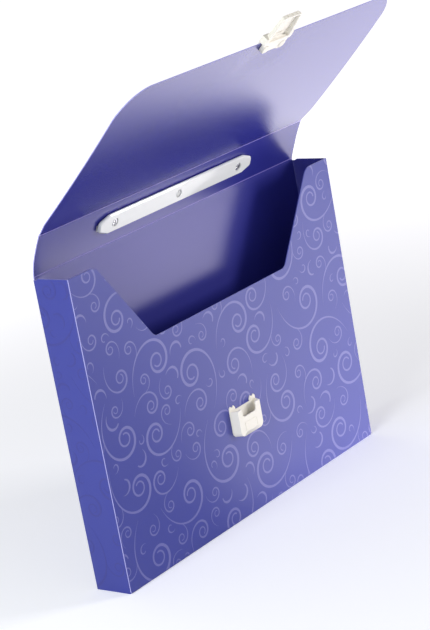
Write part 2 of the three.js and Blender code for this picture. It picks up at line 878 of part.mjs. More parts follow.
// Sprung tongue in the plug's outer floor: an arched free end with a thumb pad between two wings
// that catch under the receiver's ribs.
function latchButton() {
  const start = buttonStart();
  const wingStart = start + buttonWingDrop;
  const end = buttonEnd();
  const wingHalf = innerHalfAt(wingStart) - buttonSlot;
  const endHalf = innerHalfAt(end) - buttonSlot;
  const outer = (v) => faceAt(v) - buttonSink;
  const inner = (v) => outer(v) - buttonThickness;
  const corners = [
    [-wingHalf, wingStart, buttonFillet],
    [-buttonNeckHalf, wingStart, buttonWebFillet],
    [-buttonNeckHalf, start, buttonNeckFillet],
    [-buttonNeckHalf / 2, start],
    [0, start + buttonArch, buttonArchRadius],
    [buttonNeckHalf / 2, start],
    [buttonNeckHalf, start, buttonNeckFillet],
    [buttonNeckHalf, wingStart, buttonWebFillet],
    [wingHalf, wingStart, buttonFillet],
    [endHalf, end, buttonFillet],
    [-endHalf, end, buttonFillet],
  ];
  let body = loft(ringAt(corners, outer), ringAt(corners, inner));
  const lipInner = buttonNeckHalf - buttonLipOverlap;
  const middle = outer(wingStart) - buttonThickness / 2;
  for (const side of [-1, 1]) {
    const lip = upright(
      outline([
        [side * lipInner, wingStart],
        [side * wingHalf, wingStart, buttonFillet],
        [side * (wingHalf - buttonLipTaper), wingStart + buttonLipLength],
        [side * lipInner, wingStart + buttonLipLength],
      ]),
      middle,
      buttonThickness / 2 + buttonLipRise,
    );
    body = body.add(lip);
  }
  const padStart = start + buttonArch + buttonPadMargin;
  const padEnd = padStart + buttonPadLength;
  const pad = upright(
    outline(rectangle(-buttonPadHalf, padStart, buttonPadHalf, padEnd, buttonPadFillet)),
    middle,
    buttonThickness / 2 + buttonPadRise,
  );
  return body.add(pad);
}

function claspCover() {
  const low = sheet / 2 + seatGap;
  const end = claspEdge - seatGap;
  const holeEnd = low + coverThickness + cutMargin;
  let body = upright(outline(claspBaseOutline(coverHalf, end)), low, coverThickness);
  for (const side of [-1, 1]) {
    const x = (side * claspRivetSpacing) / 2;
    body = body.subtract(bore(x, rivetV, rivetShank + screwHoleClearance, 0, holeEnd));
  }
  return body;
}

function claspRivet(side) {
  const x = (side * claspRivetSpacing) / 2;
  const seat = -claspInner - weldGap;
  const foot = sheet / 2 + seatGap + coverThickness + weldGap;
  return turned(x, rivetV, [
    [0, seat - rivetHeadRise],
    [rivetHead * 0.6, seat - rivetHeadRise * 0.85],
    [rivetHead * 0.9, seat - rivetHeadRise * 0.45],
    [rivetHead, seat],
    [rivetShank, seat],
    [rivetShank, foot],
    [rivetFootRadius, foot],
    [rivetFootRadius * 0.7, foot + rivetFootThickness],
    [0, foot + rivetFootThickness],
  ]);
}

// The moving button turns about a line near the plug's tip.
function buttonGroup(finish) {
  const group = new THREE.Group();
  group.add(meshFrom('latch_button', latchButton(), finish));
  return group;
}

function gripGroup(finish) {
  const group = new THREE.Group();
  group.position.set(0, baseInnerFace + pivotHeight, handleMiddle);
  group.add(meshFrom('handle_grip', handleGrip(), finish));
  return group;
}

function flapGroup(body, moulded) {
  const group = new THREE.Group();
  group.position.set(0, 0, stripLength);
  group.rotation.x = THREE.MathUtils.degToRad(flapLean - stripLean);
  group.add(meshFrom('flap_panel', flapPanel(), body));
  group.add(meshFrom('latch_clasp', latchClasp(), moulded));
  group.add(meshFrom('clasp_cover', claspCover(), moulded));
  group.add(meshFrom('clasp_rivet_left', claspRivet(-1), moulded));
  group.add(meshFrom('clasp_rivet_right', claspRivet(1), moulded));
  group.add(buttonGroup(moulded));
  return group;
}

function stripGroup(body, moulded, metal) {
  const group = new THREE.Group();
  group.position.set(0, hingeY, height);
  group.rotation.x = THREE.MathUtils.degToRad(stripLean);
  group.add(meshFrom('top_strip', topStrip(), body));
  group.add(meshFrom('handle_inner_plate', handleInnerPlate(), moulded));
  group.add(meshFrom('handle_base', handleBase(), moulded));
  group.add(meshFrom('handle_screw_left', handleScrew(-1), metal));
  group.add(meshFrom('handle_screw_right', handleScrew(1), metal));
  group.add(gripGroup(moulded));
  group.add(flapGroup(body, moulded));
  return group;
}

function documentCase() {
  const body = material(violet, 0.42, 0);
  const moulded = material(ivory, 0.35, 0);
  const metal = material(steel, 0.25, 1);
  const group = new THREE.Group();
  group.add(meshFrom('back_panel', backPanel(), body));
  group.add(meshFrom('bottom_panel', bottomPanel(), body));
  group.add(meshFrom('front_panel', frontPanel(), body));
  group.add(meshFrom('left_side_panel', sidePanel(), body));
  group.add(meshFrom('right_side_panel', flip(sidePanel()), body));
  group.add(meshFrom('left_weld_tab', weldTab(), body));
  group.add(meshFrom('right_weld_tab', flip(weldTab()), body));
  group.add(meshFrom('latch_receiver', receiver(), moulded));
  group.add(meshFrom('receiver_backing_plate', backingPlate(), moulded));
  group.add(stripGroup(body, moulded, metal));
  return group;
}

export default documentCase();
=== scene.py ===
import json
import math
import random

import bmesh
import bpy
from mathutils import Matrix, Vector


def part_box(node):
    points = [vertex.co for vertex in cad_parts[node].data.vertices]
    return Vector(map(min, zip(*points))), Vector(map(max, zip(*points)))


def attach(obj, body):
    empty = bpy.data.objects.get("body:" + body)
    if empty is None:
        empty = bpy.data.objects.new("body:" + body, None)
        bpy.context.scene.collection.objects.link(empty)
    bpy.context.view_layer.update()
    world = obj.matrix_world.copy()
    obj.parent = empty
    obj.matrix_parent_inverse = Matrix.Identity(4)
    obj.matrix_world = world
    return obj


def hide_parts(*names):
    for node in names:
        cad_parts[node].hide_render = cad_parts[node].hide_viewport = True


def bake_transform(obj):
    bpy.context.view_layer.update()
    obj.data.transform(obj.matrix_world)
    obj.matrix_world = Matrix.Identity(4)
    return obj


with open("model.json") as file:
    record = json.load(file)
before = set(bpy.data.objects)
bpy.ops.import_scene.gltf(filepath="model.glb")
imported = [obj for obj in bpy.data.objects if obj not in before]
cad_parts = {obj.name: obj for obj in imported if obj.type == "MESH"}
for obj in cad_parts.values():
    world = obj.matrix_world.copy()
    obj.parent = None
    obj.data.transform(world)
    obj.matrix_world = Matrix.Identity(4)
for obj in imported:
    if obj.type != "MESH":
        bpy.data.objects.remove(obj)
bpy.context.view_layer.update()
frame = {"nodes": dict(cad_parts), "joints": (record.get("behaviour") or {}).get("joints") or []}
millimetre = 0.001
jointPlaces = {joint["name"]: Vector(joint["pos_m"]) for joint in frame["joints"]}


# Camera, floor and light

camera = {
    "place": (-1.200844, -1.025966, 0.608089),
    "forward": (0.73404345, 0.62265061, -0.27108382),
    "up": (0.32030412, 0.03455179, 0.94668445),  # the photograph is tilted by about ten degrees
    "lens": 118.67,
    "clipEnd": 30,
}

studio = {
    "floorSize": 9.0,
    "floorColour": (0.9, 0.9, 0.9, 1),
    "floorRoughness": 0.9,
    "liftNear": 0.24,  # white that only the camera sees: little round the case, where its shadow lies
    "liftFar": 0.75,  # and enough further off for the floor to fade into the background
    "liftReach": (0.35, 1.5),
    "worldColour": (0.92, 0.95, 1.0, 1),
    "worldStrength": 0.36,
    "background": (1, 1, 1, 1),
}

# A glowing part of the floor, to the right of the case and before it, whose emission stands in for a lamp.
# It lights the case from below and shows in the sheet's sheen, but the camera doesn't see its glow directly.
# Each edge goes from dark to bright, in metres from the origin after the turn.
floorGlowPatch = {
    "turn": math.radians(-45),
    "strength": 1.52,
    "colour": (1.0, 0.96, 0.99, 1),
    "nearEdge": (-0.065, 0.002),
    "farEdge": (0.80, 0.74),
    "leftEdge": (-0.05, 0.135),
    "leftSlant": 0.25,
    "rightEdge": (1.18, 1.11),
}

# name, place, point it faces, width, height, watts, colour
softboxes = [
    ("key_softbox", (1.05, -1.2, 0.5), (0.05, 0, 0.15), 0.5, 0.5, 14, (0.99, 0.97, 0.98)),
    ("left_softbox", (-1.4, -0.2, 0.7), (-0.1, 0, 0.15), 0.8, 1.0, 17.5, (0.92, 0.98, 1.0)),
    ("back_softbox", (0.3, 1.5, 0.35), (0, 0, 0.15), 0.8, 0.5, 5, (1.0, 1.0, 1.0)),
]


def addCamera():
    data = bpy.data.cameras.new("camera")
    data.lens = camera["lens"]
    data.clip_end = camera["clipEnd"]
    holder = bpy.data.objects.new("camera", data)
    bpy.context.scene.collection.objects.link(holder)
    forward = Vector(camera["forward"]).normalized()
    right = forward.cross(Vector(camera["up"])).normalized()
    up = right.cross(forward)
    turn = Matrix((right, up, -forward)).transposed().to_4x4()
    holder.matrix_world = Matrix.Translation(camera["place"]) @ turn
    bpy.context.scene.camera = holder


def newMaterial(name):
    material = bpy.data.materials.new(name)
    material.use_nodes = True
    nodes = material.node_tree.nodes
    return material, nodes, material.node_tree.links, nodes["Principled BSDF"]


def softStep(nodes, links, value, edge, low=0, high=1):
    step = nodes.new("ShaderNodeMapRange")
    step.interpolation_type = "SMOOTHSTEP"
    step.inputs["From Min"].default_value = edge[0]
    step.inputs["From Max"].default_value = edge[1]
    step.inputs["To Min"].default_value = low
    step.inputs["To Max"].default_value = high
    links.new(value, step.inputs["Value"])
    return step.outputs["Result"]


def arithmetic(nodes, links, operation, *values):
    node = nodes.new("ShaderNodeMath")
    node.operation = operation
    for socket, value in zip(node.inputs, values):
        if isinstance(value, (int, float)):
            socket.default_value = value
        else:
            links.new(value, socket)
    return node.outputs[0]


def glowingFloorPatch(nodes, links):
    place = nodes.new("ShaderNodeTexCoord")
    turned = nodes.new("ShaderNodeMapping")
    turned.inputs["Rotation"].default_value = (0, 0, floorGlowPatch["turn"])
    links.new(place.outputs["Object"], turned.inputs["Vector"])
    parts = nodes.new("ShaderNodeSeparateXYZ")
    links.new(turned.outputs["Vector"], parts.inputs["Vector"])
    away, aside = parts.outputs["X"], arithmetic(nodes, links, "MULTIPLY", parts.outputs["Y"], -1)
    slant = arithmetic(nodes, links, "MULTIPLY_ADD", away, -floorGlowPatch["leftSlant"], aside)
    share = softStep(nodes, links, away, floorGlowPatch["nearEdge"])
    for value, edge in ((away, "farEdge"), (slant, "leftEdge"), (aside, "rightEdge")):
        share = arithmetic(nodes, links, "MULTIPLY", share, softStep(nodes, links, value, floorGlowPatch[edge]))
    return arithmetic(nodes, links, "MULTIPLY", share, floorGlowPatch["strength"])


def floorLift(nodes, links):
    place = nodes.new("ShaderNodeTexCoord")
    distance = nodes.new("ShaderNodeVectorMath")
    distance.operation = "LENGTH"
    links.new(place.outputs["Object"], distance.inputs[0])
    return softStep(nodes, links, distance.outputs["Value"], studio["liftReach"], studio["liftNear"],
                    studio["liftFar"])


def addStudio():
    world = bpy.data.worlds.new("studio_world")
    bpy.context.scene.world = world
    world.use_nodes = True
    nodes, links = world.node_tree.nodes, world.node_tree.links
    background = nodes["Background"]
    background.inputs["Color"].default_value = studio["worldColour"]
    background.inputs["Strength"].default_value = studio["worldStrength"]
    white = nodes.new("ShaderNodeBackground")
    white.inputs["Color"].default_value = studio["background"]
    path = nodes.new("ShaderNodeLightPath")
    mix = nodes.new("ShaderNodeMixShader")
    seen = arithmetic(nodes, links, "MAXIMUM", path.outputs["Is Camera Ray"], path.outputs["Is Glossy Ray"])
    seen = arithmetic(nodes, links, "MAXIMUM", seen, path.outputs["Is Transmission Ray"])
    links.new(seen, mix.inputs["Fac"])  # what is seen or mirrored is white, and the tinted world lights
    links.new(background.outputs[0], mix.inputs[1])
    links.new(white.outputs[0], mix.inputs[2])
    links.new(mix.outputs[0], nodes["World Output"].inputs["Surface"])

    bpy.ops.mesh.primitive_grid_add(x_subdivisions=4, y_subdivisions=4, size=studio["floorSize"])
    floor = bpy.context.object
    floor.name = "studio_floor"
    material, nodes, links, shader = newMaterial("pale_floor")
    shader.inputs["Base Color"].default_value = studio["floorColour"]
    shader.inputs["Roughness"].default_value = studio["floorRoughness"]
    shader.inputs["Specular IOR Level"].default_value = 0
    shader.inputs["Emission Color"].default_value = floorGlowPatch["colour"]
    path = nodes.new("ShaderNodeLightPath")
    glow = nodes.new("ShaderNodeMix")
    links.new(path.outputs["Is Camera Ray"], glow.inputs["Factor"])
    # the floor glows in that patch, a stand-in lamp, for every ray but the camera's
    links.new(glowingFloorPatch(nodes, links), glow.inputs["A"])
    links.new(floorLift(nodes, links), glow.inputs["B"])
    links.new(glow.outputs["Result"], shader.inputs["Emission Strength"])
    floor.data.materials.append(material)

    for name, place, target, wide, tall, watts, colour in softboxes:
        data = bpy.data.lights.new(name, "AREA")
        data.shape = "RECTANGLE"
        data.size = wide
        data.size_y = tall
        data.energy = watts
        data.color = colour
        lamp = bpy.data.objects.new(name, data)
        bpy.context.scene.collection.objects.link(lamp)
        aim = Vector(target) - Vector(place)
        lamp.matrix_world = Matrix.Translation(place) @ aim.to_track_quat("-Z", "Y").to_matrix().to_4x4()
    bpy.context.scene.view_settings.view_transform = "Standard"


# Finishes

finishes = {
    "outerSheet": {"colour": (0.036, 0.045, 0.295, 1), "tint": (0.032, 0.041, 0.270, 1), "roughness": 0.30,
                   "specular": 0.62, "sheen": (0.98, 0.95, 0.95, 1), "grain": 0.35},
    "innerSheet": {"colour": (0.028, 0.030, 0.250, 1), "tint": (0.025, 0.027, 0.226, 1), "roughness": 0.25,
                   "specular": 1.0, "sheen": (0.88, 0.83, 1.0, 1), "grain": 0.5},
    # Rims of the cut sheet: a pale copy, partly the paler look of a cut edge and partly a painted highlight,
    # and a darker copy for the rims of the front's cut-out, painted shade.
    "rimPaintedHighlight": {"colour": (0.42, 0.40, 0.74, 1), "tint": (0.36, 0.345, 0.68, 1), "roughness": 0.4,
                "specular": 0.5, "grain": 0.2},
    "cutOutRimPaintedShade": {"colour": (0.10, 0.11, 0.44, 1), "tint": (0.09, 0.10, 0.40, 1), "roughness": 0.4,
                   "specular": 0.5, "grain": 0.2},
    "lowerCrease": {"colour": (0.16, 0.125, 0.46, 1), "tint": (0.14, 0.11, 0.42, 1), "roughness": 0.4,
                    "specular": 0.7, "grain": 0.1},
    "upperCrease": {"colour": (0.42, 0.34, 0.70, 1), "tint": (0.38, 0.31, 0.66, 1), "roughness": 0.4,
                    "specular": 0.8, "grain": 0.1},
    # Scrolls: a lighter copy for the front, back, strip and flap and a darker copy for the two side walls,
    # painted light and shade by which way each panel faces, not two colours of the relief.
    "scrollPaintedLight": {"colour": (0.105, 0.105, 0.375, 1), "tint": (0.098, 0.098, 0.355, 1), "roughness": 0.42,
                    "specular": 1.0, "grain": 0.3},
    "scrollPaintedShade": {"colour": (0.030, 0.033, 0.242, 1), "tint": (0.027, 0.030, 0.225, 1), "roughness": 0.4,
                   "specular": 0.7, "grain": 0.3},
    "moulded": {"colour": (0.87, 0.82, 0.73, 1), "tint": (0.85, 0.80, 0.705, 1), "roughness": 0.4,
                "specular": 0.35, "grain": 0.06},
    "handlePlate": {"colour": (0.76, 0.76, 0.75, 1), "tint": (0.73, 0.73, 0.72, 1), "roughness": 0.08,
                    "specular": 0.6, "grain": 0.03},
    "metal": {"colour": (0.62, 0.62, 0.64, 1), "tint": (0.5, 0.5, 0.52, 1), "roughness": 0.2,
              "specular": 0.5, "grain": 0.1},
}
grain = {
    "cloudScale": 14,
    "cloudDetail": 3,
    "speckScale": 2200,
    "speckDetail": 2,
    "bumpDistance": 0.00002,
    "roughnessSwing": 0.02,
}


def finish(name):
    values = finishes[name]
    material, nodes, links, shader = newMaterial(name)
    shader.inputs["Specular IOR Level"].default_value = values["specular"]
    shader.inputs["Specular Tint"].default_value = values.get("sheen", (1, 1, 1, 1))
    shader.inputs["Metallic"].default_value = 1 if name == "metal" else 0
    place = nodes.new("ShaderNodeTexCoord")
    cloud = nodes.new("ShaderNodeTexNoise")
    cloud.inputs["Scale"].default_value = grain["cloudScale"]
    cloud.inputs["Detail"].default_value = grain["cloudDetail"]
    links.new(place.outputs["Object"], cloud.inputs["Vector"])
    mix = nodes.new("ShaderNodeMix")
    mix.data_type = "RGBA"
    mix.inputs["A"].default_value = values["colour"]
    mix.inputs["B"].default_value = values["tint"]
    links.new(cloud.outputs["Fac"], mix.inputs["Factor"])
    links.new(mix.outputs["Result"], shader.inputs["Base Color"])
    span = nodes.new("ShaderNodeMapRange")
    span.inputs["To Min"].default_value = values["roughness"] - grain["roughnessSwing"] / 2
    span.inputs["To Max"].default_value = values["roughness"] + grain["roughnessSwing"] / 2
    links.new(cloud.outputs["Fac"], span.inputs["Value"])
    links.new(span.outputs["Result"], shader.inputs["Roughness"])
    speck = nodes.new("ShaderNodeTexNoise")
    speck.inputs["Scale"].default_value = grain["speckScale"]
    speck.inputs["Detail"].default_value = grain["speckDetail"]
    links.new(place.outputs["Object"], speck.inputs["Vector"])
    bump = nodes.new("ShaderNodeBump")
    bump.inputs["Strength"].default_value = values["grain"]
    bump.inputs["Distance"].default_value = grain["bumpDistance"]
    links.new(speck.outputs["Fac"], bump.inputs["Height"])
    links.new(bump.outputs["Normal"], shader.inputs["Normal"])
    return material


addCamera()
addStudio()
materials = {name: finish(name) for name in finishes}
print("camera, studio and", len(materials), "finishes made")


# Folded sheet, worked out from the solids

frontLow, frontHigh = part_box("front_panel")
backLow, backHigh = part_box("back_panel")
tabLow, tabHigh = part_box("left_weld_tab")
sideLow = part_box("left_side_panel")[0]
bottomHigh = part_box("bottom_panel")[1]

sheet = {
    "thickness": frontHigh.y - frontLow.y,
    "foldRadius": 1.2 * millimetre,
    "foldParts": 4,
    "gridStep": 9 * millimetre,
    "bulge": 0.35 * millimetre,
    "bulgeCentre": 0.36,  # the share of the front's height at which it swells most
    "cutTopHalf": 135 * millimetre,
    "cutBottomHalf": 85 * millimetre,
    "cutDepth": 71 * millimetre,
    "cutTopFillet": 11 * millimetre,
    "cutBottomFillet": 8 * millimetre,
    "tabSlant": 7 * millimetre,
    "tabFillet": 2 * millimetre,
    "reliefWidth": 5 * millimetre,
    "reliefDepth": 1.2 * millimetre,
    "bottomGap": 0.1 * millimetre,  # between the bottom's ends and the side walls
    "cornerStep": 0.05 * millimetre,
    "rimInset": 2 * millimetre,  # rims further in than this belong to the cut-out
    "probe": 0.25 * millimetre,  # half the distance over which a surface's slope is taken
}
sheetSlots = {"outer": 0, "inner": 1, "rim": 2, "crease": 3, "cutOutRim": 4}
cutTolerance = 2e-6
weldTolerance = 1e-6
clipTolerance = 1e-7

lid = {
    "flapLean": math.radians(48),
    "flapLength": 151 * millimetre,
    "flare": 3.5 * millimetre,
    "flareStart": 2 * millimetre,
    "flareLength": 14 * millimetre,
    "flareFillet": 10 * millimetre,
    "corner": 27 * millimetre,
    "neck": 1.2 * millimetre,
    "neckLength": 12 * millimetre,
    "seam": 2 * millimetre,  # the lid's sheet starts this far under the back panel's crease
    "creaseHalf": 0.4 * millimetre,
    "creaseRidge": 0.12 * millimetre,
    "creaseReach": 1.2 * millimetre,  # the sheet bends over this much at each side of a crease
    "rowStart": 1 * millimetre,
    "rowStep": 2 * millimetre,
    "flapGrid": 0.7,  # times the sheet's grid step
    "cornerParts": 14,
    "stripStart": math.radians(13),  # the strip leaves its lower crease this steeply
    "stripEnd": math.radians(32),  # and reaches its upper crease at this lean
    "flapBow": 1.5 * millimetre,
    "claspReach": (30 * millimetre, 18 * millimetre),  # the clasp holds the flap flat within the second
    "claspShare": (0.8, 0.94),  # and from the second share of the flap's length on
}

halfWidth = frontHigh.x
wallTop = frontHigh.z
stripHinge = jointPlaces["strip_fold"]
flapHinge = jointPlaces["flap_fold"]
stripLength = (flapHinge - stripHinge).length
stripLean = math.atan2(stripHinge.y - flapHinge.y, flapHinge.z - stripHinge.z)
caseHeight = stripHinge.z


def smooth(low, high, value):
    share = min(max((value - low) / (high - low), 0), 1)
    return share * share * (3 - 2 * share)


def roundedOutline(corners, parts=8):
    points = []
    for index, corner in enumerate(corners):
        here = Vector(corner[:2])
        radius = corner[2] if len(corner) > 2 else 0
        if not radius:
            points.append(here)
            continue
        back = (Vector(corners[index - 1][:2]) - here).normalized()
        ahead = (Vector(corners[(index + 1) % len(corners)][:2]) - here).normalized()
        half = back.angle(ahead) / 2
        start = here + back * (radius / math.tan(half))
        centre = here + (back + ahead).normalized() * (radius / math.sin(half))
        turn = math.pi - 2 * half
        hand = -1 if back.x * ahead.y - back.y * ahead.x > 0 else 1
        arm = start - centre
        for part in range(parts + 1):
            angle = hand * turn * part / parts
            points.append(centre + Vector((arm.x * math.cos(angle) - arm.y * math.sin(angle),
                                           arm.x * math.sin(angle) + arm.y * math.cos(angle))))
    return points


def signedArea(points):
    sides = zip(points, points[1:] + points[:1])
    return sum(here.x * ahead.y - ahead.x * here.y for here, ahead in sides) / 2


def flatSheet(outline, cutsAcross, cutsUp):
    flat = bmesh.new()
    ring = [flat.verts.new((point.x, point.y, 0)) for point in outline]
    flat.faces.new(ring)
    if signedArea(outline) < 0:
        flat.faces[:][0].normal_flip()
    for axis, cuts in ((0, cutsAcross), (1, cutsUp)):
        for cut in cuts:
            place = [0, 0, 0]
            normal = [0, 0, 0]
            place[axis] = cut
            normal[axis] = 1
            everything = flat.verts[:] + flat.edges[:] + flat.faces[:]
            bmesh.ops.bisect_plane(flat, geom=everything, plane_co=place, plane_no=normal, dist=cutTolerance)
    bmesh.ops.dissolve_degenerate(flat, dist=weldTolerance, edges=flat.edges[:])
    return flat


def surfaceFrame(place, across, up):
    step = sheet["probe"]
    point = place(across, up)
    tangentAcross = place(across + step, up) - place(across - step, up)
    tangentUp = place(across, up + step) - place(across, up - step)
    return point, tangentAcross.cross(tangentUp).normalized()


def noCrease(along):
    return 0


def sheetObject(name, flat, place, outward, crease=noCrease, creaseFinish="lowerCrease"):
    half = sheet["thickness"] / 2
    solid = bmesh.new()
    pairs = {}
    for vert in flat.verts:
        point, normal = surfaceFrame(place, vert.co.x, vert.co.y)
        normal = normal * outward
        ridge = lid["creaseRidge"] * crease(vert.co.y)
        pairs[vert] = (solid.verts.new(point + normal * half),
                       solid.verts.new(point - normal * (half + ridge)))
    for face in flat.faces:
        creased = crease(face.calc_center_median().y) > 0
        for side in (sheetSlots["outer"], sheetSlots["inner"]):
            loop = [pairs[vert][side] for vert in face.verts]
            if (side == sheetSlots["outer"]) != (outward > 0):
                loop.reverse()
            made = solid.faces.new(loop)
            made.material_index = sheetSlots["crease"] if creased else side
            made.smooth = True
    for edge in flat.edges:
        if not edge.is_boundary:
            continue
        loop = edge.link_loops[0]
        first, second = pairs[loop.vert], pairs[loop.link_loop_next.vert]
        corners = [second[0], first[0], first[1], second[1]]
        if outward < 0:
            corners.reverse()
        rim = solid.faces.new(corners)
        rim.material_index = sheetSlots["rim"]
        for rimEdge in rim.edges:
            if {rimEdge.verts[0], rimEdge.verts[1]} in ({first[0], second[0]}, {first[1], second[1]}):
                rimEdge.smooth = False
    mesh = bpy.data.meshes.new(name)
    solid.to_mesh(mesh)
    solid.free()
    for material in ("outerSheet", "innerSheet", "rimPaintedHighlight", creaseFinish, "cutOutRimPaintedShade"):
        mesh.materials.append(materials[material])
    made = bpy.data.objects.new(name, mesh)
    bpy.context.scene.collection.objects.link(made)
    return made


def steps(low, high, spacing):
    count = max(1, round((high - low) / spacing))
    return [low + (high - low) * index / count for index in range(1, count)]


def foldLines(marks):
    parts = sheet["foldParts"]
    return [start + (end - start) * part / parts for start, end in zip(marks[::2], marks[1::2])
            for part in range(parts + 1)]


class Path:
    def __init__(self, corners, radius):
        self.spans = []
        self.marks = [0]
        points = [Vector(corner) for corner in corners]
        length = 0
        here = points[0]
        for index in range(1, len(points)):
            heading = (points[index] - points[index - 1]).normalized()
            last = index == len(points) - 1
            trim = 0 if last else radius
            end = points[index] - heading * trim
            span = (end - here).length
            self.spans.append((length, span, here, heading, None))
            length += span
            self.marks.append(length)
            if last:
                break
            after = (points[index + 1] - points[index]).normalized()
            turn = radius * math.pi / 2
            self.spans.append((length, turn, end, heading, after))
            length += turn
            self.marks.append(length)
            here = points[index] + after * radius
        self.radius = radius
        self.length = length

    def at(self, distance):
        chosen = self.spans[0]
        for span in self.spans:
            if distance >= span[0]:
                chosen = span
        start, _, here, heading, after = chosen
        local = distance - start
        if after is None:
            return here + heading * local
        angle = local / self.radius
        centre = here + after * self.radius
        return centre - after * (self.radius * math.cos(angle)) + heading * (self.radius * math.sin(angle))


def bulge(across, up, halfAcross, halfUp):
    return sheet["bulge"] * max(0, 1 - (across / halfAcross) ** 2) * max(0, 1 - (up / halfUp) ** 2)


midRadius = sheet["foldRadius"] - sheet["thickness"] / 2
halfSheet = sheet["thickness"] / 2
frontMiddle = frontLow.y + halfSheet
backMiddle = backHigh.y - halfSheet
sideMiddle = halfWidth - halfSheet
tabMiddle = tabLow.y + halfSheet

frontPath = Path([(backMiddle, bottomHigh.z), (backMiddle, halfSheet), (frontMiddle, halfSheet),
                  (frontMiddle, wallTop)], midRadius)
wallPath = Path([(tabHigh.x, tabMiddle), (-sideMiddle, tabMiddle), (-sideMiddle, backMiddle),
                 (sideMiddle, backMiddle), (sideMiddle, tabMiddle), (-tabHigh.x, tabMiddle)], midRadius)
frontRise = frontPath.length - frontPath.marks[4]


def frontPlace(across, along):
    point = frontPath.at(along)
    rise = along - frontPath.marks[4]
    swell = 0
    centre = frontRise * sheet["bulgeCentre"]
    if 0 < rise < 2 * centre:
        swell = bulge(across, rise - centre, halfWidth, centre)
    return Vector((across, point.x - swell, point.y))


def wallPlace(along, up):
    point = wallPath.at(along)
    return Vector((point.x, point.y, up))


def buildFront():
    top = frontPath.length
    foldEnd = frontPath.marks[4]
    cutFloor = foldEnd + (caseHeight - sheet["cutDepth"] - sheet["foldRadius"])
    bottomHalf = halfWidth - sheet["thickness"] - sheet["bottomGap"]
    step = sheet["cornerStep"]
    outline = roundedOutline([
        (-bottomHalf, 0),
        (bottomHalf, 0),
        (bottomHalf, foldEnd + step),
        (halfWidth, foldEnd + step),
        (halfWidth, top),
        (sheet["cutTopHalf"], top, sheet["cutTopFillet"]),
        (sheet["cutBottomHalf"], cutFloor, sheet["cutBottomFillet"]),
        (-sheet["cutBottomHalf"], cutFloor, sheet["cutBottomFillet"]),
        (-sheet["cutTopHalf"], top, sheet["cutTopFillet"]),
        (-halfWidth, top),
        (-halfWidth, foldEnd + step),
        (-bottomHalf, foldEnd + step),
    ])
    rows = foldLines(frontPath.marks[1:5]) + steps(foldEnd, top, sheet["gridStep"])
    columns = steps(-halfWidth, halfWidth, sheet["gridStep"])
    flat = flatSheet(outline, columns, rows)
    front = sheetObject("front_and_bottom_sheet", flat, frontPlace, 1)
    # the rims of the cut-out take the darker rim copy, painted shade
    for face in front.data.polygons:
        inCutOut = abs(face.center.x) < halfWidth - sheet["rimInset"] and face.center.z > caseHeight / 2
        if face.material_index == sheetSlots["rim"] and inCutOut:
            face.material_index = sheetSlots["cutOutRim"]
    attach(front, "box")
    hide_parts("front_panel", "bottom_panel")


def buildWalls():
    marks = wallPath.marks
    seamTop = caseHeight - lid["seam"]
    reliefStart = sheet["reliefWidth"] - sheet["foldRadius"]
    leftSide = (marks[2], marks[3])
    rightSide = (marks[6], marks[7])
    notch = wallTop - sheet["reliefDepth"]
    tabBottom = tabLow.z
    fillet = sheet["tabFillet"]
    outline = roundedOutline([
        (0, tabBottom + sheet["tabSlant"], fillet),
        (marks[1], tabBottom),
        (marks[1], sideLow.z),
        (marks[4], sideLow.z),
        (marks[4], backLow.z),
        (marks[5], backLow.z),
        (marks[5], sideLow.z),
        (marks[8], sideLow.z),
        (marks[8], tabBottom),
        (wallPath.length, tabBottom + sheet["tabSlant"], fillet),
        (wallPath.length, wallTop - sheet["tabSlant"], fillet),
        (marks[8], wallTop),
        (rightSide[0] + reliefStart, wallTop),
        (rightSide[0] + reliefStart / 2, notch),
        (marks[5], notch),
        (marks[5], seamTop),
        (marks[4], seamTop),
        (marks[4], notch),
        (leftSide[1] - reliefStart / 2, notch),
        (leftSide[1] - reliefStart, wallTop),
        (marks[1], wallTop),
        (0, wallTop - sheet["tabSlant"], fillet),
    ])
    coarse = sheet["gridStep"] * 2
    columns = foldLines(marks[1:9]) + steps(marks[4], marks[5], coarse)
    columns += steps(*leftSide, sheet["gridStep"]) + steps(*rightSide, sheet["gridStep"])
    flat = flatSheet(outline, columns, steps(0, seamTop, coarse))
    walls = sheetObject("wall_sheet", flat, wallPlace, -1)
    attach(walls, "box")
    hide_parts("back_panel", "left_side_panel", "right_side_panel", "left_weld_tab", "right_weld_tab")


def lidPlace(across, along):
    if along <= 0:
        return Vector((across, stripHinge.y, stripHinge.z + along))
    if along <= stripLength:
        share = along / stripLength
        swing = lid["stripEnd"] - lid["stripStart"]
        outwards = stripLength * share * swing * 2 / 3 * (1 - math.sqrt(share))
        lean, base, distance = stripLean, stripHinge, along
    else:
        distance = along - stripLength
        share = min(distance / lid["flapLength"], 1)
        held = 1 - smooth(*lid["claspReach"], abs(across)) * smooth(*lid["claspShare"], share)
        outwards = -lid["flapBow"] * 4 * share * (1 - share) * held
        lean, base = lid["flapLean"], flapHinge
    return Vector((across,
                   base.y + outwards * math.cos(lean) - distance * math.sin(lean),
                   base.z + outwards * math.sin(lean) + distance * math.cos(lean)))


def creaseShare(along):
    nearest = min(abs(along), abs(along - stripLength))
    return max(0, 1 - nearest / lid["creaseHalf"])


def creaseRows(place):
    return [place + share * lid["creaseHalf"] for share in (-2, -1, -0.5, 0, 0.5, 1, 2)]


